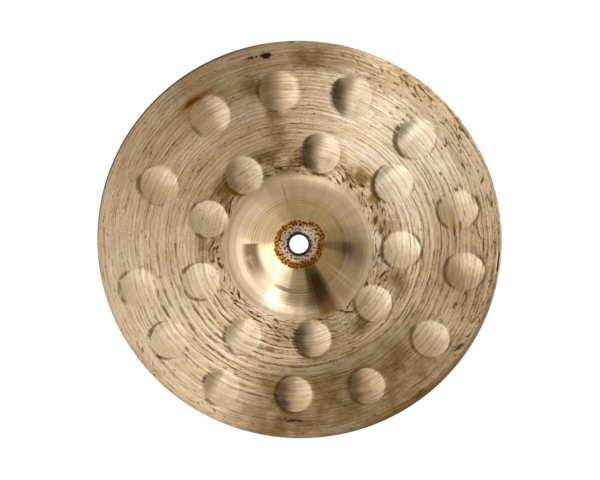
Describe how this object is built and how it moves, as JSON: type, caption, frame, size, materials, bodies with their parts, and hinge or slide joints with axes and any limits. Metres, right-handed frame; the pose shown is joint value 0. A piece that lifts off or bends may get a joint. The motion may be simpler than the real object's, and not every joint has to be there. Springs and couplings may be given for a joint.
{
  "type": "splash cymbal",
  "caption": "Small thin bronze cymbal with a pressed bell, a gently curved bow, rings of round hammered dents and a plain centre hole.",
  "frame": {"origin": "on the centre hole's axis, in the plane of the rim's lower edge", "axes": "+Z along the hole's axis towards the bell, as the cymbal sits on a stand; +X is the picture's right and -Y its top, seen from below"},
  "size_m": [0.254, 0.254, 0.0264],
  "materials": {
    "bronze": "turned bell bronze, aged, with brown patina in the grooves and a polished bell"
  },
  "bodies": {
    "root": {"cymbal": "bronze"}
  },
  "joints": []
}
